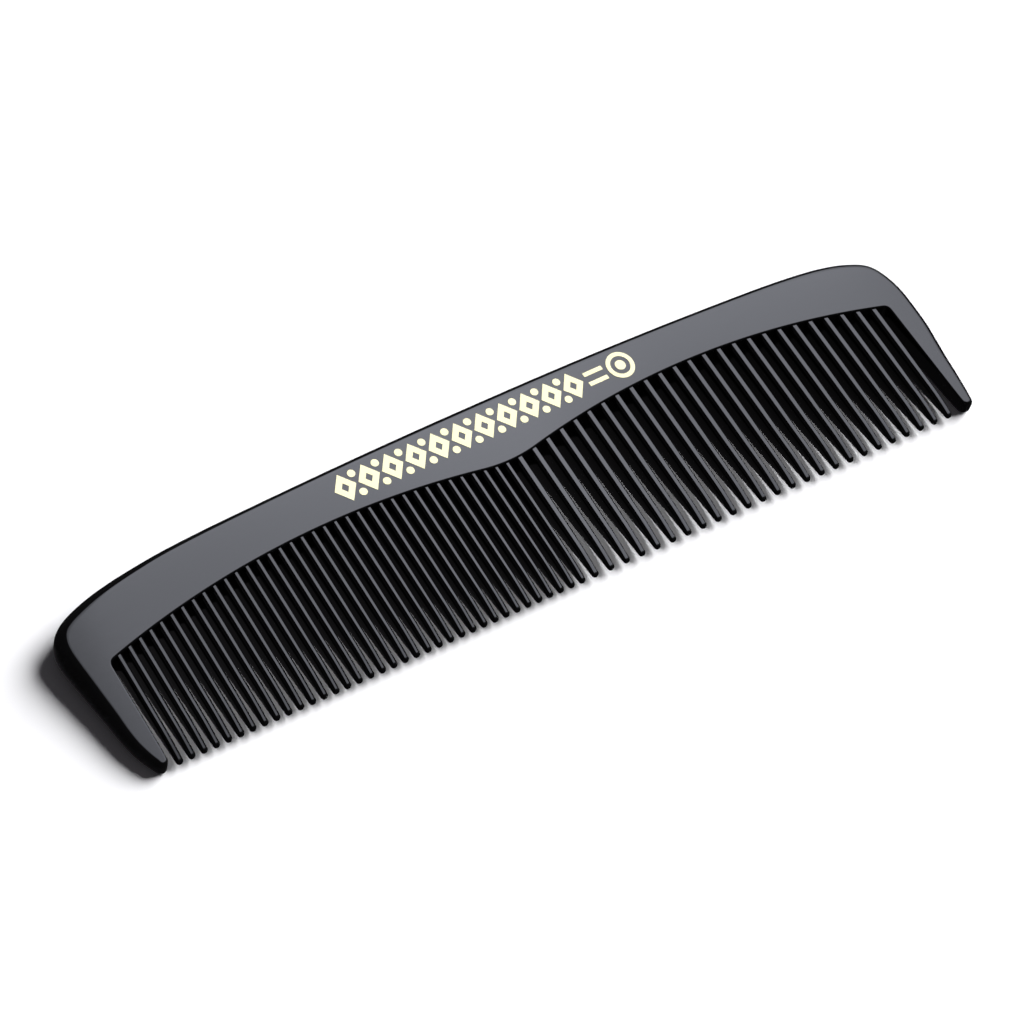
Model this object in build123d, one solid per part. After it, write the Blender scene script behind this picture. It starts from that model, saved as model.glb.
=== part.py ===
"""Moulded pocket beard comb: one rigid comb, 127 mm long, lying on its back face.

Frame: X runs along the comb from the fine end to the coarse end, Y runs from the
tooth tips to the spine, Z is up through the thickness. The origin is the centre of
the comb's footprint on the back face. Millimetres. The helpers below work from the
first fine tooth and the line of the tooth tips; place() moves a piece to the origin.
"""
import os
from math import cos, radians, sin, sqrt

from build123d import *

# Teeth
FINE_PITCH = 1.60            # spacing of the fine teeth
FINE_COUNT = 36
COARSE_PITCH = 2.375         # spacing of the coarse teeth
COARSE_COUNT = 25
SECTION_STEP = 1.96          # last fine tooth to first coarse tooth
FINE_FACET = 0.30            # flat along the middle of a fine tooth
FINE_WIDTH = 0.96            # full width of a fine tooth
COARSE_FACET = 0.60
COARSE_WIDTH = 1.16
FLANK_RISE = 0.50            # depth over which a tooth widens from facet to full width
FLANK_LIMIT = 0.42           # largest share of a tooth's thickness that this may take
TAPER_LENGTH = 4.80          # a tooth thins down over this length at its end
TAPER_DROP = 0.36            # thinning of each face at the very end
TAPER_STATIONS = (1.2, 2.4)  # heights between which the taper runs straight
TIP_ROUND = 0.45             # length of the rounded end
TIP_OVERRUN = 0.20           # the rounded end passes the line of the tips
TIP_STATIONS = (0.0, 0.35, 0.70, 1.0)  # sections of the rounded end, as shares of its length
TIP_ROUNDNESS = 0.92         # 1 would close the rounded end to a point
TOOTH_BLANK_TOP = 21.60      # blanks run up past the root line and are trimmed to it

# Blank
LEFT, RIGHT = -6.15, 120.85  # ends of the comb, measured from the first fine tooth
DEPTH = 27.40                # line of the tips to the top of the spine
TIP_THICKNESS = 2.10         # thickness of the comb at the line of the tips
TOP_THICKNESS = 4.80         # thickness at the top of the spine
RIM_RADIUS = 0.24            # rounding of the rims of the front and back faces
STEP = 0.24                  # tooth faces lie this far below the spine's faces
MARGIN = 1.0                 # blanks are made this much larger than the comb, then trimmed

ARCH_RADIUS = 120.0          # the roots of each section lie on an arch
FINE_ARCH = (34.0, -100.51)  # centres of the two arches
COARSE_ARCH = (86.5, -98.88)
DIP_RADIUS = 22.0            # rounding of the dip between the arches
ROOT_CORNER = 0.80           # rounding where an arch meets a guard
ROOT_GAP = 0.01              # hair's breadth that keeps teeth and spine separate solids

# Guards
FINE_INNER = -1.40           # inner wall of the guard at the fine end
COARSE_INNER = 117.35        # inner wall of the guard at the coarse end, at its tip
COARSE_LEAN = 0.40           # that wall leans in by this much towards its root
FINE_GUARD_TOP = 13.60       # heights at which the guards meet the spine
COARSE_GUARD_TOP = 16.20
GUARD_BLOCK = (200.0, 50.0, 20.0)  # trimming block, larger than a guard in every direction

# Foil ornament on the front of the spine
FOIL_THICKNESS = 0.04
FOIL_ANGLE = 1.6             # degrees; the ornament follows the slope of the spine
FOIL_START = (33.9, 22.85)   # left end of the row, on its middle line
LOZENGE_WIDTH = 3.10
LOZENGE_HEIGHT = 4.00
LOZENGE_OPENING = 0.34       # share of the lozenge left open in its middle
LOZENGE_SPACING = 3.45
LOZENGE_COUNT = 11
DOT_RADIUS = 0.52            # dots above and below the middle line, between lozenges
DOT_HEIGHT = 1.42
RULE_LENGTH = 2.90
RULE_WIDTH = 0.60
RULE_GAP = 1.50
RING_RADII = (1.95, 1.35)
RING_DOT = 0.72
END_GAP = 0.55               # space before the rules and before the ring

CENTRE_X = (LEFT + RIGHT) / 2
CENTRE_Y = (DEPTH - TIP_OVERRUN) / 2
SLOPE = (TOP_THICKNESS - TIP_THICKNESS) / DEPTH


def place(solid):
    """Move a solid so that the origin is the centre of the comb's footprint."""
    return Pos(-CENTRE_X, -CENTRE_Y, 0) * solid


def thickness(y):
    """Thickness of the comb at a height above the line of the tips."""
    return TIP_THICKNESS + SLOPE * y


def slab(outline):
    """Prism on an outline that passes through the whole thickness of the comb."""
    return Pos(0, 0, -MARGIN) * extrude(outline, TOP_THICKNESS + 2 * MARGIN)


# Spine and guards
def arch_point(arch, x):
    """Point of an arch above x."""
    centre_x, centre_y = arch
    return x, centre_y + sqrt(ARCH_RADIUS**2 - (x - centre_x) ** 2)


def arch_arc(arch, x_from, x_to):
    """Stretch of an arch between two places."""
    ends = [arch_point(arch, x) for x in (x_from, (x_from + x_to) / 2, x_to)]
    return ThreePointArc(*ends)


def root_line():
    """Line where the teeth leave the spine: two arches and the rounded dip between."""
    fine = Vector(*FINE_ARCH)
    coarse = Vector(*COARSE_ARCH)
    reach = ARCH_RADIUS + DIP_RADIUS
    across = coarse - fine
    rise = sqrt(reach**2 - (across.length / 2) ** 2)
    dip = (fine + coarse) / 2 + Vector(-across.Y, across.X).normalized() * rise
    fine_join = fine + (dip - fine) * (ARCH_RADIUS / reach)
    coarse_join = coarse + (dip - coarse) * (ARCH_RADIUS / reach)
    lowest = dip - Vector(0, DIP_RADIUS)
    return [
        arch_arc(FINE_ARCH, FINE_INNER, fine_join.X),
        ThreePointArc(fine_join, lowest, coarse_join),
        arch_arc(COARSE_ARCH, coarse_join.X, COARSE_INNER - COARSE_LEAN),
    ]


def frame_outline():
    """Outline of the spine and its two guards, seen from the front."""
    root = root_line()
    fine_root, coarse_root = root[0] @ 0, root[-1] @ 1
    fine_tip, fine_outside = (FINE_INNER, 0.90), (-2.95, 0.55)
    coarse_tip, coarse_outside = (COARSE_INNER, 0.95), (119.10, 0.75)
    fine_end, coarse_end = (LEFT, 17.2), (RIGHT, 16.4)
    top_left, top_right = (-3.3, 21.7), (118.3, 24.3)
    top = Spline(
        top_left,
        (3.1, 23.65),
        (9.6, 24.60),
        (28.8, 25.95),
        (54.4, 26.98),
        (80.0, DEPTH),
        (105.6, 26.93),
        (112.0, 26.33),
        top_right,
    )
    edges = [
        *root,
        Line(fine_root, fine_tip),
        ThreePointArc(fine_tip, (-2.05, -0.10), fine_outside),
        Spline(
            fine_outside,
            (-4.15, 3.3),
            (-4.97, 8.1),
            (-5.70, 13.0),
            fine_end,
            tangents=[(-0.55, 1), (0, 1)],
        ),
        ThreePointArc(fine_end, (-5.45, 19.95), top_left),
        top,
        Spline(
            top_right,
            (119.35, 23.2),
            (120.25, 21.2),
            coarse_end,
            tangents=[(1, -0.6), (0, -1)],
        ),
        Spline(
            coarse_end,
            (120.75, 12.6),
            (120.1, 7.8),
            (119.5, 3.0),
            coarse_outside,
            tangents=[(0, -1), (-0.3, -1)],
        ),
        ThreePointArc(coarse_outside, (118.1, -0.15), coarse_tip),
        Line(coarse_tip, coarse_root),
    ]
    outline = make_face(Wire(edges))
    corners = outline.vertices().sort_by_distance(fine_root)[:1]
    corners += outline.vertices().sort_by_distance(coarse_root)[:1]
    return fillet(corners, ROOT_CORNER)


def blank_wedge():
    """Wedge between the back face and the sloping front face."""
    low, high = -MARGIN, DEPTH + MARGIN
    points = [(low, 0), (high, 0), (high, thickness(high)), (low, thickness(low))]
    side = Plane.YZ * make_face(Polyline(*points, close=True))
    return Pos(LEFT - MARGIN, 0, 0) * extrude(side, RIGHT - LEFT + 2 * MARGIN)


def guard_zone(side, top):
    """Block that takes in the whole guard at one end (side -1 or 1) up to its top."""
    length, height, _ = GUARD_BLOCK
    middle = FINE_COUNT * FINE_PITCH
    return Pos(middle + side * length / 2, top - height / 2, 0) * Box(*GUARD_BLOCK)


def frame_pieces():
    """Spine, guard at the fine end and guard at the coarse end."""
    blank = slab(frame_outline()) & blank_wedge()
    rims = blank.edges().filter_by(Axis.Z, reverse=True)
    frame = fillet(rims, RIM_RADIUS)
    fine_zone = guard_zone(-1, FINE_GUARD_TOP)
    coarse_zone = guard_zone(1, COARSE_GUARD_TOP)
    pieces = [frame - fine_zone - coarse_zone, frame & fine_zone, frame & coarse_zone]
    return [piece.solid() for piece in pieces]


# Teeth
def tooth_section(y, facet, width, z_low, z_high):
    """Eight-sided section of a tooth: flats front and back, flanks that bulge out."""
    rise = min(FLANK_RISE, FLANK_LIMIT * (z_high - z_low))
    half, flat = width / 2, facet / 2
    right = [(flat, z_low), (half, z_low + rise), (half, z_high - rise), (flat, z_high)]
    left = [(-x, z) for x, z in reversed(right)]
    corners = [Vector(x, y, z) for x, z in right + left]
    return make_face(Polyline(*corners, close=True))


def tooth_blank(facet, width):
    """Tooth at x = 0 with a tapered, rounded end, running on past the root line."""
    sections = []
    round_end = TIP_ROUND - TIP_OVERRUN
    for share in TIP_STATIONS:
        y = -TIP_OVERRUN + share * TIP_ROUND
        size = sqrt(1 - (1 - share) ** 2 * TIP_ROUNDNESS)
        sections.append((y, size))
    for y in (*TAPER_STATIONS, TAPER_LENGTH, TOOTH_BLANK_TOP):
        sections.append((y, 1.0))
    faces = []
    for y, size in sections:
        drop = TAPER_DROP * max(0.0, 1 - (y - round_end) / (TAPER_LENGTH - round_end)) ** 2
        drop = min(drop, TAPER_DROP)
        z_low, z_high = STEP + drop, thickness(y) - STEP - drop
        middle, half = (z_low + z_high) / 2, (z_high - z_low) / 2 * size
        face = tooth_section(y, facet * size, width * size, middle - half, middle + half)
        faces.append(face)
    return loft(faces, ruled=True)


def teeth(first, pitch, count, facet, width):
    """Row of separate teeth, each ending on the root line, as a list of solids."""
    blank, frame = tooth_blank(facet, width), slab(frame_outline())
    row = [Pos(first + index * pitch, 0, 0) * blank - frame for index in range(count)]
    return [Pos(0, -ROOT_GAP, 0) * tooth.solid() for tooth in row]


# Foil ornament
def lozenge():
    """Lozenge with a small lozenge left open in its middle."""
    half_w, half_h = LOZENGE_WIDTH / 2, LOZENGE_HEIGHT / 2
    outer = Polygon((-half_w, 0), (0, -half_h), (half_w, 0), (0, half_h), align=None)
    return outer - scale(outer, LOZENGE_OPENING)


def ornament_shapes():
    """Flat shapes of the ornament on a straight middle line that starts at x = 0."""
    shapes = []
    for index in range(LOZENGE_COUNT):
        centre = LOZENGE_WIDTH / 2 + index * LOZENGE_SPACING
        shapes.append(Pos(centre, 0) * lozenge())
        if index > 0:
            between = centre - LOZENGE_SPACING / 2
            shapes.append(Pos(between, DOT_HEIGHT) * Circle(DOT_RADIUS))
            shapes.append(Pos(between, -DOT_HEIGHT) * Circle(DOT_RADIUS))
    row_end = LOZENGE_WIDTH + (LOZENGE_COUNT - 1) * LOZENGE_SPACING
    rules_x = row_end + END_GAP + RULE_LENGTH / 2
    for side in (-1, 1):
        shapes.append(Pos(rules_x, side * RULE_GAP / 2) * Rectangle(RULE_LENGTH, RULE_WIDTH))
    outer, inner = RING_RADII
    ring_x = rules_x + RULE_LENGTH / 2 + END_GAP + outer
    shapes.append(Pos(ring_x, 0) * (Circle(outer) - Circle(inner)))
    shapes.append(Pos(ring_x, 0) * Circle(RING_DOT))
    return shapes


def foil():
    """Foil film lying on the sloping front face of the spine, as a list of solids."""
    x, y = FOIL_START
    along, up = cos(radians(FOIL_ANGLE)), sin(radians(FOIL_ANGLE))
    tilt = Plane(
        origin=(x, y, thickness(y)),
        x_dir=(along, up, SLOPE * up),
        z_dir=(0, -SLOPE, 1),
    )
    return [extrude(tilt * shape, FOIL_THICKNESS).solid() for shape in ornament_shapes()]


if __name__ == "__main__":
    os.makedirs("parts", exist_ok=True)
    spine, fine_guard, coarse_guard = frame_pieces()
    coarse_first = (FINE_COUNT - 1) * FINE_PITCH + SECTION_STEP
    nodes = {
        "spine": [spine],
        "fine_end_guard": [fine_guard],
        "coarse_end_guard": [coarse_guard],
        "fine_teeth": teeth(0, FINE_PITCH, FINE_COUNT, FINE_FACET, FINE_WIDTH),
        "coarse_teeth": teeth(
            coarse_first, COARSE_PITCH, COARSE_COUNT, COARSE_FACET, COARSE_WIDTH
        ),
        "foil_ornament": foil(),
    }
    for name, solids in nodes.items():
        export_step(Compound([place(solid) for solid in solids]), f"parts/{name}.step")
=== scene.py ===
"""Black plastic pocket comb with a cream foil ornament, lying on a pale studio floor."""
import math

import bmesh
import bpy
import numpy as np
from mathutils import Matrix, Vector


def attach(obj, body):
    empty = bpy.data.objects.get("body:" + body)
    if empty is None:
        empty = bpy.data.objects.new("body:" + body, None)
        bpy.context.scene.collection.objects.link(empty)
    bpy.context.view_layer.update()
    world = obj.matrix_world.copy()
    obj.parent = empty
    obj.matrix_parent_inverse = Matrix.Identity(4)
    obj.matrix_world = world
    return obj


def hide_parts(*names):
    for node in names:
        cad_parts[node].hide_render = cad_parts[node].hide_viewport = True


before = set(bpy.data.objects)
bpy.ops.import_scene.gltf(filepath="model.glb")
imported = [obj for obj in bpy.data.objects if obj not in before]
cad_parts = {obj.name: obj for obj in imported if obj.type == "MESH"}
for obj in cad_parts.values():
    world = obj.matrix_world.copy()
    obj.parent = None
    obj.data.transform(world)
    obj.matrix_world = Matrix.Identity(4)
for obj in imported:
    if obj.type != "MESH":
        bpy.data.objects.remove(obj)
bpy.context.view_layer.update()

# Lengths are millimetres. Outlines run from the first fine tooth and the line of the tips.
MM = 0.001
SHIFT_X, SHIFT_Y = -57.35, -13.60  # from there to the frame's origin

# Thickness of the comb
TIP_THICKNESS, TOP_THICKNESS, DEPTH = 2.10, 4.80, 27.40
SLOPE = (TOP_THICKNESS - TIP_THICKNESS) / DEPTH

# Outline of the spine and guards
FINE_INNER, COARSE_INNER, COARSE_LEAN = -1.40, 117.35, 0.40
ARCH_RADIUS = 120.0
FINE_ARCH, COARSE_ARCH = (34.0, -100.51), (86.5, -98.88)
DIP_RADIUS = 22.0
ROOT_CORNER = 0.60

# Points of the outline
OUTLINE_STEP, SMALL_ARC_STEP = 0.35, 0.12
WALL_POINTS, ROOT_POINTS = 40, 340
SAME_POINT = 0.01            # points closer than this are one
CORNER_SIGHT = 8             # points on each side of a corner that give its directions
CORNER_CLEARANCE = 1.05      # share of a corner's reach that its rounding replaces
TURNED_BY = 60               # points by which the loop is turned to bring its ends inside
EASED_STEP, EASING, EASING_REACH = 0.08, 0.22, 10
KEPT_EVERY = 3               # of the eased points

# Rounding of the rims
INNER_RIM = 0.24
OUTER_RIM = 1.00
LEFT_RIM_HEIGHTS = (0.0, 1.6, 3.2, 6.4, 9.6, 12.8, 16.0)
LEFT_RIM_RADII = (0.60, 0.80, 0.92, 1.14, 1.34, 1.50, 1.60)
RIGHT_RIM_HEIGHTS = (0.0, 3.0, 8.0)
RIGHT_RIM_RADII = (0.60, 0.80, 1.00)
FINE_END_RIM, FINE_END_FADE = 10.0, 12.0  # the fine end's own rim fades out up to here, over this
WALL_MARGIN, ROOT_MARGIN = 0.25, 0.60     # the inner rim reaches this far past walls and roots
RIM_EASING = 9               # points over which the radius changes
RIM_SEGMENTS = 12

# Teeth
FINE_PITCH, FINE_COUNT = 1.60, 36
COARSE_PITCH, COARSE_COUNT = 2.375, 25
FACET_HEIGHTS = (5.0, 12.0)  # the front strip widens between these heights
FINE_FACETS, COARSE_FACETS = (0.26, 0.32), (0.42, 0.53)
WIDTH_HEIGHTS = (3.0, 8.5)   # the teeth widen between these heights
FINE_WIDTHS, COARSE_WIDTHS = (0.90, 0.96), (0.98, 1.16)
BACK_HEIGHTS = (3.5, 8.5)    # the back strip widens between these heights
FINE_BACKS, COARSE_BACKS = (0.20, 0.32), (0.06, 0.30)  # half its width
FLANK_START = 32.0           # degrees; slope of a flank where it leaves the strip
FLANK_STEPS = 7
BACK_POWER = 1.25
SECTION_STEP = 1.96
FACE_STEP = 0.24
FLANK_RISE, FLANK_LIMIT = 0.50, 0.44  # depth of a flank, and its largest share of the thickness
TAPER_LENGTH, TAPER_DROP, TAPER_RINGS = 4.80, 0.36, 12
TIP_OVERRUN, TIP_ROUND, TIP_RINGS = 0.20, 0.45, 9
BLUNT_END = 0.06             # size of the first ring of a tip
BODY_HEIGHTS = (6.4, 8.0, 9.6, 11.2, 13.0)
ROOT_OVERLAP = 0.8
CAP_SPACING = 0.02           # a last ring this close to the end cap keeps the flanks' shading even


def thickness(y):
    return TIP_THICKNESS + SLOPE * y


# Curves
def arc_through(a, b, c, step=OUTLINE_STEP):
    """Points from a to c on the circle through a, b and c."""
    (ax, ay), (bx, by), (cx, cy) = a, b, c
    d = 2 * (ax * (by - cy) + bx * (cy - ay) + cx * (ay - by))
    aa, bb, cc = ax**2 + ay**2, bx**2 + by**2, cx**2 + cy**2
    ux = (aa * (by - cy) + bb * (cy - ay) + cc * (ay - by)) / d
    uy = (aa * (cx - bx) + bb * (ax - cx) + cc * (bx - ax)) / d
    radius = math.hypot(ax - ux, ay - uy)
    start = math.atan2(ay - uy, ax - ux)
    middle = (math.atan2(by - uy, bx - ux) - start) % math.tau
    end = (math.atan2(cy - uy, cx - ux) - start) % math.tau
    if middle > end:
        end -= math.tau
    count = max(2, round(abs(end) * radius / step))
    angles = start + np.linspace(0, end, count + 1)
    return np.column_stack([ux + radius * np.cos(angles), uy + radius * np.sin(angles)])


def smooth_through(points, step=OUTLINE_STEP):
    """Centripetal Catmull-Rom curve through the points."""
    p = np.array(points, float)
    p = np.vstack([2 * p[0] - p[1], p, 2 * p[-1] - p[-2]])
    rows = []
    for i in range(1, len(p) - 2):
        p0, p1, p2, p3 = p[i - 1 : i + 3]
        t0 = 0.0
        t1 = t0 + np.linalg.norm(p1 - p0) ** 0.5
        t2 = t1 + np.linalg.norm(p2 - p1) ** 0.5
        t3 = t2 + np.linalg.norm(p3 - p2) ** 0.5
        count = max(2, round(np.linalg.norm(p2 - p1) / step))
        t = np.linspace(t1, t2, count + 1)[:, None]
        a1 = (t1 - t) / (t1 - t0) * p0 + (t - t0) / (t1 - t0) * p1
        a2 = (t2 - t) / (t2 - t1) * p1 + (t - t1) / (t2 - t1) * p2
        a3 = (t3 - t) / (t3 - t2) * p2 + (t - t2) / (t3 - t2) * p3
        b1 = (t2 - t) / (t2 - t0) * a1 + (t - t0) / (t2 - t0) * a2
        b2 = (t3 - t) / (t3 - t1) * a2 + (t - t1) / (t3 - t1) * a3
        rows.append((t2 - t) / (t2 - t1) * b1 + (t - t1) / (t2 - t1) * b2)
    return np.vstack(rows)


def root_line(x):
    """Height of the root line above x: two arches with a rounded dip between."""
    fine = np.array(FINE_ARCH)
    coarse = np.array(COARSE_ARCH)
    reach = ARCH_RADIUS + DIP_RADIUS
    across = coarse - fine
    span = np.linalg.norm(across)
    rise = math.sqrt(reach**2 - (span / 2) ** 2)
    dip = (fine + coarse) / 2 + np.array([-across[1], across[0]]) / span * rise
    fine_join = fine + (dip - fine) * ARCH_RADIUS / reach
    coarse_join = coarse + (dip - coarse) * ARCH_RADIUS / reach
    if x < fine_join[0]:
        return fine[1] + math.sqrt(ARCH_RADIUS**2 - (x - fine[0]) ** 2)
    if x > coarse_join[0]:
        return coarse[1] + math.sqrt(ARCH_RADIUS**2 - (x - coarse[0]) ** 2)
    return dip[1] - math.sqrt(DIP_RADIUS**2 - (x - dip[0]) ** 2)


def rounded(points, index, radius):
    """The polyline with its corner at index rounded; the polyline is nearly straight near it."""
    p = points[index]
    before = points[index - CORNER_SIGHT] - p
    after = points[index + CORNER_SIGHT] - p
    u, v = before / np.linalg.norm(before), after / np.linalg.norm(after)
    half = math.acos(float(np.clip(u @ v, -1, 1))) / 2
    reach = radius / math.tan(half)
    bisector = (u + v) / np.linalg.norm(u + v)
    middle = p + bisector * (radius / math.sin(half) - radius)
    arc = arc_through(p + u * reach, middle, p + v * reach, SMALL_ARC_STEP)
    far = np.linalg.norm(points - p, axis=1) > reach * CORNER_CLEARANCE
    low = index
    while not far[low]:
        low -= 1
    high = index
    while not far[high]:
        high += 1
    return np.vstack([points[: low + 1], arc, points[high:]])


def frame_loop():
    """Closed outline of the spine and guards with the rounding radius at each point."""
    fine_root = (FINE_INNER, root_line(FINE_INNER))
    coarse_x = COARSE_INNER - COARSE_LEAN
    coarse_root = (coarse_x, root_line(coarse_x))
    fine_tip, fine_outside = (FINE_INNER, 0.90), (-2.95, 0.55)
    coarse_tip, coarse_outside = (COARSE_INNER, 0.95), (119.10, 0.75)
    outer = smooth_through([
        fine_outside, (-3.42, 1.45), (-3.80, 2.35), (-4.22, 3.6), (-4.62, 5.5), (-4.97, 8.1),
        (-5.36, 10.6), (-5.70, 13.0), (-6.02, 15.4), (-6.15, 17.2), (-6.02, 18.5), (-5.45, 19.95),
        (-4.55, 20.9), (-3.3, 21.7), (-0.6, 22.75), (3.1, 23.65), (9.6, 24.60), (16.0, 25.2),
        (28.8, 25.95), (41.6, 26.56), (54.4, 26.98), (67.2, 27.28), (80.0, 27.40), (92.8, 27.30),
        (105.6, 26.93), (112.0, 26.33), (115.6, 25.5), (118.3, 24.3), (119.35, 23.2),
        (120.25, 21.2), (120.75, 18.9), (120.85, 16.4), (120.78, 12.9), (120.45, 10.2),
        (120.12, 7.8), (119.83, 5.4), (119.50, 3.0), coarse_outside,
    ])
    fine_wall = np.linspace(fine_root, fine_tip, WALL_POINTS)
    coarse_wall = np.linspace(coarse_tip, coarse_root, WALL_POINTS)
    root_xs = np.linspace(coarse_x, FINE_INNER, ROOT_POINTS)
    roots = np.column_stack([root_xs, [root_line(x) for x in root_xs]])
    fine_end = arc_through(fine_tip, (-2.05, -0.10), fine_outside, SMALL_ARC_STEP)
    coarse_end = arc_through(coarse_outside, (118.1, -0.15), coarse_tip, SMALL_ARC_STEP)
    stretches = [fine_wall, fine_end[1:], outer[1:], coarse_end[1:], coarse_wall[1:], roots[1:]]
    loop = np.vstack(stretches)
    corner = len(loop) - len(roots)
    loop = rounded(loop, corner, ROOT_CORNER)
    # the other root corner is where the loop closes: turn the list so that it lies inside
    loop = np.vstack([loop[TURNED_BY:], loop[:TURNED_BY]])
    steps = np.linalg.norm(np.diff(loop, axis=0), axis=1)
    keep = np.concatenate([[True], steps > SAME_POINT])
    loop = loop[keep]
    corner = int(np.argmin(np.linalg.norm(loop - np.array(fine_root), axis=1)))
    loop = rounded(loop, corner, ROOT_CORNER)
    loop = resampled(loop)
    return loop, rim_radii(loop)


def eased_weights():
    """Bell-shaped weights for the points around each point of the loop."""
    places = np.arange(-EASING_REACH, EASING_REACH + 1)
    weights = np.exp(-0.5 * (places * EASED_STEP / EASING) ** 2)
    return places, weights / weights.sum()


def resampled(loop):
    """The closed loop at an even step, with its joins eased."""
    closed = np.vstack([loop, loop[:1]])
    steps = np.linalg.norm(np.diff(closed, axis=0), axis=1)
    length = np.concatenate([[0], np.cumsum(steps)])
    count = int(length[-1] / EASED_STEP)
    s = np.linspace(0, length[-1], count, endpoint=False)
    even = np.column_stack([np.interp(s, length, closed[:, axis]) for axis in (0, 1)])
    eased = sum(w * np.roll(even, k, axis=0) for k, w in zip(*eased_weights()))
    return eased[::KEPT_EVERY]


def rim_radii(loop):
    """Rounding radius of the rims at each point of the outline."""
    x, y = loop[:, 0], loop[:, 1]
    spans = np.clip(x, FINE_INNER, COARSE_INNER - COARSE_LEAN)
    roots = np.array([root_line(v) for v in spans])
    between = (x > FINE_INNER - WALL_MARGIN) & (x < COARSE_INNER + WALL_MARGIN)
    inner = between & (y < roots + ROOT_MARGIN)
    fine_end = np.interp(y, LEFT_RIM_HEIGHTS, LEFT_RIM_RADII)
    other = np.minimum(OUTER_RIM, np.interp(y, RIGHT_RIM_HEIGHTS, RIGHT_RIM_RADII))
    share = np.clip((FINE_END_RIM - x) / FINE_END_FADE, 0, 1)
    radii = np.where(inner, INNER_RIM, fine_end * share + other * (1 - share))
    places = range(-RIM_EASING, RIM_EASING + 1)
    weights = np.hanning(2 * RIM_EASING + 3)[1:-1]
    return sum(w * np.roll(radii, k) for k, w in zip(places, weights / weights.sum()))


def inward(loop):
    """Unit vectors pointing into the material at each point of the outline."""
    along = np.roll(loop, -1, axis=0) - np.roll(loop, 1, axis=0)
    along /= np.linalg.norm(along, axis=1)[:, None]
    normal = np.column_stack([-along[:, 1], along[:, 0]])
    x, y = loop[:, 0], loop[:, 1]
    twice_area = np.sum(x * np.roll(y, -1) - np.roll(x, -1) * y)
    return normal if twice_area > 0 else -normal


def to_frame(x, y, z):
    return ((x + SHIFT_X) * MM, (y + SHIFT_Y) * MM, z * MM)


def new_object(name, bm):
    """Object with the mesh of bm, in the scene."""
    mesh = bpy.data.meshes.new(name)
    bm.normal_update()
    bm.to_mesh(mesh)
    bm.free()
    piece = bpy.data.objects.new(name, mesh)
    bpy.context.scene.collection.objects.link(piece)
    return piece


# Spine and guards
def build_frame():
    """The one moulded frame: outline, rounded rims front and back, two flat faces."""
    loop, radii = frame_loop()
    normal = inward(loop)
    bm = bmesh.new()
    rings = []
    profile = [k / RIM_SEGMENTS * math.pi / 2 for k in range(RIM_SEGMENTS + 1)]
    for angle in profile:  # back rim, from the flat face out to the wall
        inset = loop + normal * (radii * (1 - math.sin(angle)))[:, None]
        z = radii * (1 - math.cos(angle))
        rings.append([bm.verts.new(to_frame(p[0], p[1], h)) for p, h in zip(inset, z)])
    for angle in reversed(profile):  # front rim, from the wall in to the sloping face
        inset = loop + normal * (radii * (1 - math.sin(angle)))[:, None]
        z = thickness(inset[:, 1]) - radii * (1 - math.cos(angle))
        rings.append([bm.verts.new(to_frame(p[0], p[1], h)) for p, h in zip(inset, z)])
    count = len(loop)
    for low, high in zip(rings, rings[1:]):
        for i in range(count):
            j = (i + 1) % count
            face = bm.faces.new((low[i], low[j], high[j], high[i]))
            face.smooth = True
    bm.faces.new(list(reversed(rings[0])))
    bm.faces.new(rings[-1])
    bmesh.ops.recalc_face_normals(bm, faces=bm.faces[:])
    return new_object("comb_frame", bm)


# Teeth
def tooth_ring(flat, half, back_flat, z_low, z_high):
    """Section of a tooth: a flat strip in front, flanks that bulge out and close in behind."""
    rise = min(FLANK_RISE, FLANK_LIMIT * (z_high - z_low))
    z_wide = z_high - rise
    start = math.radians(FLANK_START)
    side = [(flat, z_high)]
    for k in range(1, FLANK_STEPS + 1):
        a = start + k / FLANK_STEPS * (math.pi / 2 - start)
        out = (math.sin(a) - math.sin(start)) / (1 - math.sin(start))
        side.append((flat + (half - flat) * out, z_wide + rise * math.cos(a) / math.cos(start)))
    for k in range(1, FLANK_STEPS + 1):
        a = k / FLANK_STEPS * math.pi / 2
        out, down = math.cos(a) ** BACK_POWER, math.sin(a) ** BACK_POWER
        side.append((back_flat + (half - back_flat) * out, z_wide - (z_wide - z_low) * down))
    return side + [(-x, z) for x, z in reversed(side)]


def tooth_stations(top):
    """Heights of a tooth's rings, each with the size of the ring there."""
    round_end = TIP_ROUND - TIP_OVERRUN
    stations = []
    for k in range(TIP_RINGS):
        a = k / (TIP_RINGS - 1) * math.pi / 2
        y = -TIP_OVERRUN + TIP_ROUND * (1 - math.cos(a))
        stations.append((y, max(BLUNT_END, math.sin(a))))
    for k in range(1, TAPER_RINGS + 1):
        stations.append((round_end + (TAPER_LENGTH - round_end) * k / TAPER_RINGS, 1.0))
    return stations + [(y, 1.0) for y in (*BODY_HEIGHTS, top - CAP_SPACING, top)]


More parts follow.
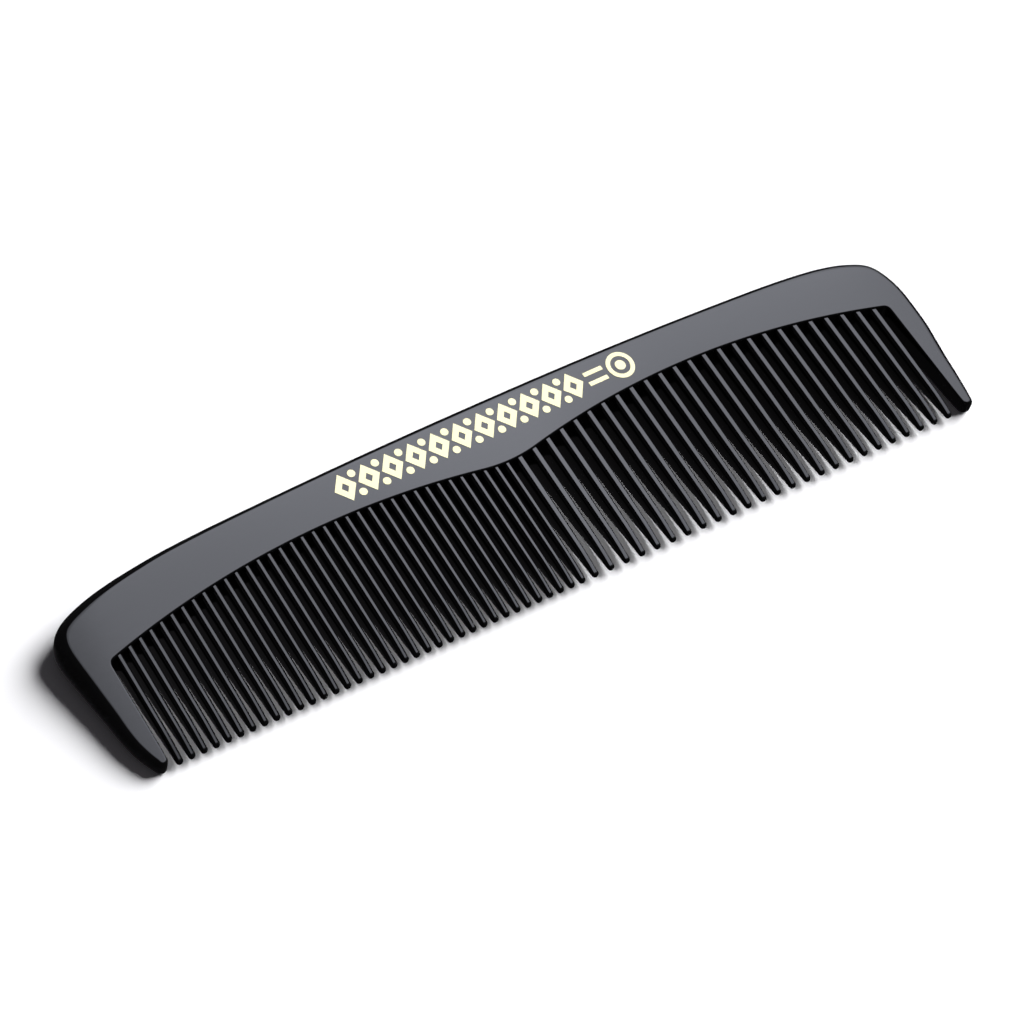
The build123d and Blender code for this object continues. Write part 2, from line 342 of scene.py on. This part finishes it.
def add_tooth(bm, x, facets, widths, backs):
    """One tooth with a thinned, rounded end, its root buried in the spine."""
    round_end = TIP_ROUND - TIP_OVERRUN
    rings = []
    for y, scale in tooth_stations(root_line(x) + ROOT_OVERLAP):
        drop = TAPER_DROP * max(0.0, 1 - (y - round_end) / (TAPER_LENGTH - round_end)) ** 2
        drop = min(drop, TAPER_DROP)
        z_low, z_high = FACE_STEP + drop, thickness(y) - FACE_STEP - drop
        middle, height = (z_low + z_high) / 2, (z_high - z_low) / 2 * scale
        facet = float(np.interp(y, FACET_HEIGHTS, facets))
        half = float(np.interp(y, WIDTH_HEIGHTS, widths)) / 2 * scale
        lean = (facets[1] - facet) / 2
        back_flat = float(np.interp(y, BACK_HEIGHTS, backs)) * scale
        ring = tooth_ring(facet / 2 * scale, half, back_flat, middle - height, middle + height)
        rings.append([bm.verts.new(to_frame(x - lean + px, y, pz)) for px, pz in ring])
    count = len(rings[0])
    for low, high in zip(rings, rings[1:]):
        for i in range(count):
            j = (i + 1) % count
            bm.faces.new((low[i], low[j], high[j], high[i])).smooth = True
        for i in (0, count - 1):
            bm.edges.get((low[i], high[i])).smooth = False
    bm.faces.new(list(reversed(rings[0]))).smooth = True
    bm.faces.new(rings[-1])


def build_teeth(name, first, pitch, count, *shape):
    """Row of teeth in one object; shape is what add_tooth takes after the place."""
    bm = bmesh.new()
    for index in range(count):
        add_tooth(bm, first + index * pitch, *shape)
    bmesh.ops.recalc_face_normals(bm, faces=bm.faces[:])
    return new_object(name, bm)


# Materials
PLASTIC_DARK, PLASTIC_LIGHT = (0.0012, 0.0012, 0.0014, 1), (0.0020, 0.0020, 0.0022, 1)
PLASTIC_IOR = 1.5
PEEL_SCALE, RUB_SCALE, PATCH_SCALE = 900.0, 5200.0, 70.0
RUB_STRETCH = (0.06, 1.0, 1.0)  # draws the rub marks out along the comb
RUB_RANGE = (0.45, 0.75)        # of the noise that counts as rub marks
RUB_HEIGHT = 0.25               # against that of the orange peel
PATCH_ROUGHNESS, RUB_ROUGHNESS = (0.05, 0.11), (0.0, 0.04)
FOIL_DARK, FOIL_LIGHT = (0.97, 0.90, 0.52, 1), (1.0, 0.95, 0.60, 1)
GRAIN_SCALE, WEAR_SCALE = 6000.0, 450.0
FOIL_ROUGHNESS = (0.42, 0.60)
PAPER = (0.92, 0.92, 0.94, 1)
FIBRE_SCALE = 900.0
PAPER_ROUGHNESS = (0.85, 0.98)
PLASTIC_BUMP, FOIL_BUMP, BUMP_DISTANCE = 0.035, 0.15, 0.00002


def node(tree, kind, **inputs):
    """Shader node with the given input values; an underscore stands for a space in a name."""
    made = tree.nodes.new(kind)
    for key, value in inputs.items():
        made.inputs[key.replace("_", " ")].default_value = value
    return made


def noise(tree, coords, scale, detail=4.0, roughness=0.55):
    """Value of a noise texture."""
    made = node(tree, "ShaderNodeTexNoise", Scale=scale, Detail=detail, Roughness=roughness)
    tree.links.new(coords, made.inputs["Vector"])
    return made.outputs["Fac"]


def spread(tree, value, low, high, from_low=0.0, from_high=1.0):
    """Value mapped to the range from low to high."""
    made = node(
        tree, "ShaderNodeMapRange",
        From_Min=from_low, From_Max=from_high, To_Min=low, To_Max=high,
    )
    tree.links.new(value, made.inputs["Value"])
    return made.outputs["Result"]


def combined(tree, operation, *values):
    """Result of a maths operation on sockets and plain numbers."""
    made = tree.nodes.new("ShaderNodeMath")
    made.operation = operation
    for socket, value in zip(made.inputs, values):
        if isinstance(value, float):
            socket.default_value = value
        else:
            tree.links.new(value, socket)
    return made.outputs[0]


def product(tree, first, second):
    """Component-wise product of two colours; the second may be plain numbers."""
    made = tree.nodes.new("ShaderNodeVectorMath")
    made.operation = "MULTIPLY"
    tree.links.new(first, made.inputs[0])
    if isinstance(second, tuple):
        made.inputs[1].default_value = second
    else:
        tree.links.new(second, made.inputs[1])
    return made.outputs[0]


def two_tone(tree, shader, factor, dark, light):
    """Base colour that wanders between two tones."""
    made = tree.nodes.new("ShaderNodeMix")
    made.data_type = "RGBA"
    made.inputs["A"].default_value = dark
    made.inputs["B"].default_value = light
    tree.links.new(factor, made.inputs["Factor"])
    tree.links.new(made.outputs["Result"], shader.inputs["Base Color"])


def relief(tree, shader, height, strength):
    """Fine bump of the surface."""
    made = node(tree, "ShaderNodeBump", Strength=strength, Distance=BUMP_DISTANCE)
    tree.links.new(height, made.inputs["Height"])
    tree.links.new(made.outputs["Normal"], shader.inputs["Normal"])


def new_material(name):
    """Material, with its node tree, its shader and the object's own coordinates."""
    material = bpy.data.materials.new(name)
    material.use_nodes = True
    tree = material.node_tree
    coords = tree.nodes.new("ShaderNodeTexCoord").outputs["Object"]
    return material, tree, tree.nodes["Principled BSDF"], coords


def plastic_material():
    """Polished black plastic: faint orange peel, fine rub marks along the comb, uneven gloss."""
    material, tree, shader, coords = new_material("polished_black_plastic")
    stretch = node(tree, "ShaderNodeMapping", Scale=RUB_STRETCH)
    tree.links.new(coords, stretch.inputs["Vector"])
    peel = noise(tree, coords, PEEL_SCALE, 3.0)
    rubs = noise(tree, stretch.outputs["Vector"], RUB_SCALE, 2.0)
    patches = noise(tree, coords, PATCH_SCALE, 3.0)
    patch_gloss = spread(tree, patches, *PATCH_ROUGHNESS)
    rub_gloss = spread(tree, rubs, *RUB_ROUGHNESS, *RUB_RANGE)
    tree.links.new(combined(tree, "ADD", patch_gloss, rub_gloss), shader.inputs["Roughness"])
    height = combined(tree, "MULTIPLY_ADD", rubs, RUB_HEIGHT, peel)
    relief(tree, shader, height, PLASTIC_BUMP)
    two_tone(tree, shader, patches, PLASTIC_DARK, PLASTIC_LIGHT)
    shader.inputs["IOR"].default_value = PLASTIC_IOR
    return material


def foil_material():
    """Cream stamped foil: satin, with a fine pressed grain and slightly worn colour."""
    material, tree, shader, coords = new_material("pressed_cream_foil")
    grain = noise(tree, coords, GRAIN_SCALE)
    wear = noise(tree, coords, WEAR_SCALE)
    two_tone(tree, shader, wear, FOIL_DARK, FOIL_LIGHT)
    tree.links.new(spread(tree, grain, *FOIL_ROUGHNESS), shader.inputs["Roughness"])
    relief(tree, shader, grain, FOIL_BUMP)
    return material


def floor_material():
    """Pale matt studio paper."""
    material, tree, shader, coords = new_material("studio_floor")
    fibre = noise(tree, coords, FIBRE_SCALE, 5.0)
    tree.links.new(spread(tree, fibre, *PAPER_ROUGHNESS), shader.inputs["Roughness"])
    shader.inputs["Base Color"].default_value = PAPER
    shader.inputs["Specular IOR Level"].default_value = 0.0
    return material


def finish_with(piece, material):
    """Give a piece its one material."""
    piece.data.materials.clear()
    piece.data.materials.append(material)


# The comb
plastic, foil = plastic_material(), foil_material()
comb_frame = build_frame()
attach(comb_frame, "root")
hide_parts("spine", "fine_end_guard", "coarse_end_guard")
fine_row = build_teeth(
    "fine_tooth_row", 0.0, FINE_PITCH, FINE_COUNT, FINE_FACETS, FINE_WIDTHS, FINE_BACKS
)
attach(fine_row, "root")
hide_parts("fine_teeth")
coarse_first = (FINE_COUNT - 1) * FINE_PITCH + SECTION_STEP
coarse_row = build_teeth(
    "coarse_tooth_row", coarse_first, COARSE_PITCH, COARSE_COUNT,
    COARSE_FACETS, COARSE_WIDTHS, COARSE_BACKS,
)
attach(coarse_row, "root")
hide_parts("coarse_teeth")
for piece in (comb_frame, fine_row, coarse_row):
    finish_with(piece, plastic)
for name, cad_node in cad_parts.items():
    if name == "foil_ornament":
        finish_with(cad_node, foil)
    else:
        finish_with(cad_node, plastic)

# Stage. From here on, lengths are metres, except places on the comb's front face.
FLOOR_HALF = 3.0
CAMERA_AT = Vector((-0.16291, -0.15076, 0.28213))
CAMERA_RIGHT = Vector((0.8212, -0.5427, 0.1765))
CAMERA_DOWN = Vector((-0.3541, -0.7271, -0.5882))
LENS, SENSOR = 101.92043, 36.0  # millimetres
CLIP_START, CLIP_END = 0.01, 20.0


def add_floor():
    """Wide pale floor, which the comb doesn't mirror."""
    bm = bmesh.new()
    corners = [(-1, -1), (1, -1), (1, 1), (-1, 1)]
    bm.faces.new([bm.verts.new((x * FLOOR_HALF, y * FLOOR_HALF, 0)) for x, y in corners])
    floor = new_object("floor", bm)
    floor.data.materials.append(floor_material())
    floor.visible_glossy = False


def add_camera():
    """Camera above the fine end, in front of the tips of the teeth."""
    data = bpy.data.cameras.new("camera")
    data.sensor_width = SENSOR
    data.lens = LENS
    data.clip_start, data.clip_end = CLIP_START, CLIP_END
    camera = bpy.data.objects.new("camera", data)
    bpy.context.scene.collection.objects.link(camera)
    right = CAMERA_RIGHT.normalized()
    back = right.cross(-CAMERA_DOWN).normalized()
    turn = Matrix((right, back.cross(right), back)).transposed().to_4x4()
    camera.matrix_world = Matrix.Translation(CAMERA_AT) @ turn
    bpy.context.scene.camera = camera


# Softbox, parallel to the comb's front face and mirrored in it
TILT = math.atan(SLOPE)
FACE_ORIGIN = Vector(to_frame(0, 0, TIP_THICKNESS))
FACE_X = Vector((1, 0, 0))
FACE_Y = Vector((0, math.cos(TILT), math.sin(TILT)))
FACE_N = Vector((0, -math.sin(TILT), math.cos(TILT)))
SOFTBOX_HEIGHT = 0.42        # over the plane of the face
SOFTBOX_X = (-45.0, 165.0)   # the part of that plane in which it is mirrored, in millimetres
SOFTBOX_Y = (-60.0, 95.0)
SOFTBOX_TINT = (0.87, 0.895, 1.0)
SOFTBOX_STRENGTH = 5.10
CURTAIN_FOOT = 0.26          # height over the floor at which the two hanging sides end
CURTAIN_START = 12.0         # millimetres along the face where the rear side begins
# How bright the face looks: (millimetres along the comb, display grey from 0 to 255) and
# (millimetres up from the line of the tips, share)
GREY_ALONG = [
    (-30, 72), (-6, 82), (-2.6, 86), (-1.0, 110), (8, 111), (16, 113), (32, 118), (48, 126),
    (60, 129), (72, 121), (85, 116), (110, 116), (116, 114), (122, 108), (160, 90),
]
SHARE_ACROSS = [
    (-40, 0.70), (0, 0.85), (8, 0.90), (18, 0.92), (21.5, 0.94), (25, 1.06), (45, 1.06), (80, 0.9),
]
FULL_GREY = 128              # display grey that stands for full brightness

eye_offset = CAMERA_AT - FACE_ORIGIN
eye = Vector([eye_offset.dot(axis) for axis in (FACE_X, FACE_Y, FACE_N)])
GROWTH = (eye.z + SOFTBOX_HEIGHT) / eye.z  # size of the box over that of its mirror image


def over_face(x, y):
    """Point of the softbox that the camera sees mirrored at (x, y) millimetres on the face."""
    px, py = eye.x + (x * MM - eye.x) * GROWTH, eye.y + (y * MM - eye.y) * GROWTH
    return FACE_ORIGIN + FACE_X * px + FACE_Y * py + FACE_N * SOFTBOX_HEIGHT


def linear(grey):
    """Linear light of a display grey from 0 to 255."""
    return ((grey / 255 + 0.055) / 1.055) ** 2.4


def share_of(span, value):
    """Place of a value in a span, from 0 to 1."""
    return (value - span[0]) / (span[1] - span[0])


def ramp(tree, value, stops):
    """Colour ramp whose stops are (place from 0 to 1, brightness)."""
    made = tree.nodes.new("ShaderNodeValToRGB")
    made.color_ramp.interpolation = "EASE"
    elements = made.color_ramp.elements
    while len(elements) < len(stops):
        elements.new(0.5)
    for element, (at, brightness) in zip(elements, stops):
        element.position = at
        element.color = (brightness, brightness, brightness, 1)
    tree.links.new(value, made.inputs["Fac"])
    return made.outputs["Color"]


def softbox_material():
    """Soft light whose brightness varies gently over the box."""
    material = bpy.data.materials.new("softbox")
    material.use_nodes = True
    tree = material.node_tree
    tree.nodes.clear()
    coords = tree.nodes.new("ShaderNodeTexCoord").outputs["UV"]
    split = tree.nodes.new("ShaderNodeSeparateXYZ")
    tree.links.new(coords, split.inputs[0])
    brightness = [(share_of(SOFTBOX_X, x), linear(grey) / linear(FULL_GREY)) for x, grey in GREY_ALONG]
    shares = [(share_of(SOFTBOX_Y, y), share) for y, share in SHARE_ACROSS]
    along = ramp(tree, split.outputs["X"], brightness)
    across = ramp(tree, split.outputs["Y"], shares)
    emission = node(tree, "ShaderNodeEmission", Strength=SOFTBOX_STRENGTH)
    colour = product(tree, product(tree, along, across), SOFTBOX_TINT)
    tree.links.new(colour, emission.inputs["Color"])
    output = tree.nodes.new("ShaderNodeOutputMaterial")
    tree.links.new(emission.outputs[0], output.inputs["Surface"])
    return material


def light_panel(name, material, corners, spots):
    """Light that only the comb mirrors; spots are where its corners lie in the pattern."""
    bm = bmesh.new()
    layer = bm.loops.layers.uv.new("UVMap")
    face = bm.faces.new([bm.verts.new(corner) for corner in corners])
    for loop, (x, y) in zip(face.loops, spots):
        loop[layer].uv = (share_of(SOFTBOX_X, x), share_of(SOFTBOX_Y, y))
    panel = new_object(name, bm)
    panel.data.materials.append(material)
    panel.visible_camera = False
    panel.visible_shadow = False
    panel.visible_diffuse = False


def hanging_side(name, material, start, end):
    """Side that hangs from the softbox between two spots of the pattern."""
    a, b = over_face(*start), over_face(*end)
    foot_a, foot_b = (Vector((point.x, point.y, CURTAIN_FOOT)) for point in (a, b))
    light_panel(name, material, [a, b, foot_b, foot_a], [start, end, end, start])


def add_softbox():
    """Softbox over the comb, with one side hanging behind it and one past its coarse end."""
    material = softbox_material()
    (x_low, x_high), (y_low, y_high) = SOFTBOX_X, SOFTBOX_Y
    spots = [(x_low, y_low), (x_low, y_high), (x_high, y_high), (x_high, y_low)]
    light_panel("softbox", material, [over_face(*spot) for spot in spots], spots)
    hanging_side("softbox_rear", material, (CURTAIN_START, y_high), (x_high, y_high))
    hanging_side("softbox_side", material, (x_high, y_high), (x_high, y_low))


# Key light from the coarse end
KEY_AZIMUTH, KEY_ELEVATION, KEY_SPREAD = 7.0, 30.0, 50.0  # degrees
KEY_ENERGY, OPEN_KEY_ENERGY = 6.4, 1.65


def key_light(name, energy):
    """Broad far light that the comb doesn't mirror."""
    data = bpy.data.lights.new(name, "SUN")
    data.energy = energy
    data.angle = math.radians(KEY_SPREAD)
    light = bpy.data.objects.new(name, data)
    bpy.context.scene.collection.objects.link(light)
    azimuth, elevation = math.radians(KEY_AZIMUTH), math.radians(KEY_ELEVATION)
    to_key = Vector((
        math.cos(azimuth) * math.cos(elevation),
        math.sin(azimuth) * math.cos(elevation),
        math.sin(elevation),
    ))
    light.rotation_mode = "QUATERNION"
    light.rotation_quaternion = to_key.to_track_quat("Z", "Y")
    light.visible_glossy = False
    return light


def add_key_lights():
    """Key light, a fifth of it shaded by the spine and guards alone.

    That fifth keeps the floor between the teeth as bright as it is under a large studio light.
    """
    key_light("key", KEY_ENERGY)
    open_key = key_light("open_key", OPEN_KEY_ENERGY)
    shading = bpy.data.collections.new("shades_open_key")
    shading.objects.link(comb_frame)
    open_key.light_linking.blocker_collection = shading


# What the plastic mirrors where there is no softbox: a dim room, and grey under the table
ROOM, UNDER_TABLE = 0.045, 0.03
ROOM_COLOUR = (0.97, 0.93, 1.0, 1)
HORIZON_BLEND = 0.03


def add_room():
    """Even surroundings of the studio."""
    world = bpy.data.worlds.new("studio")
    world.use_nodes = True
    tree = world.node_tree
    background = tree.nodes["Background"]
    coords = tree.nodes.new("ShaderNodeTexCoord").outputs["Generated"]
    direction = tree.nodes.new("ShaderNodeSeparateXYZ")
    tree.links.new(coords, direction.inputs[0])
    brightness = spread(tree, direction.outputs["Z"], UNDER_TABLE, ROOM, -HORIZON_BLEND, 0.0)
    tree.links.new(brightness, background.inputs["Strength"])
    background.inputs["Color"].default_value = ROOM_COLOUR
    bpy.context.scene.world = world


add_floor()
add_camera()
add_softbox()
add_key_lights()
add_room()
bpy.context.scene.view_settings.view_transform = "Standard"
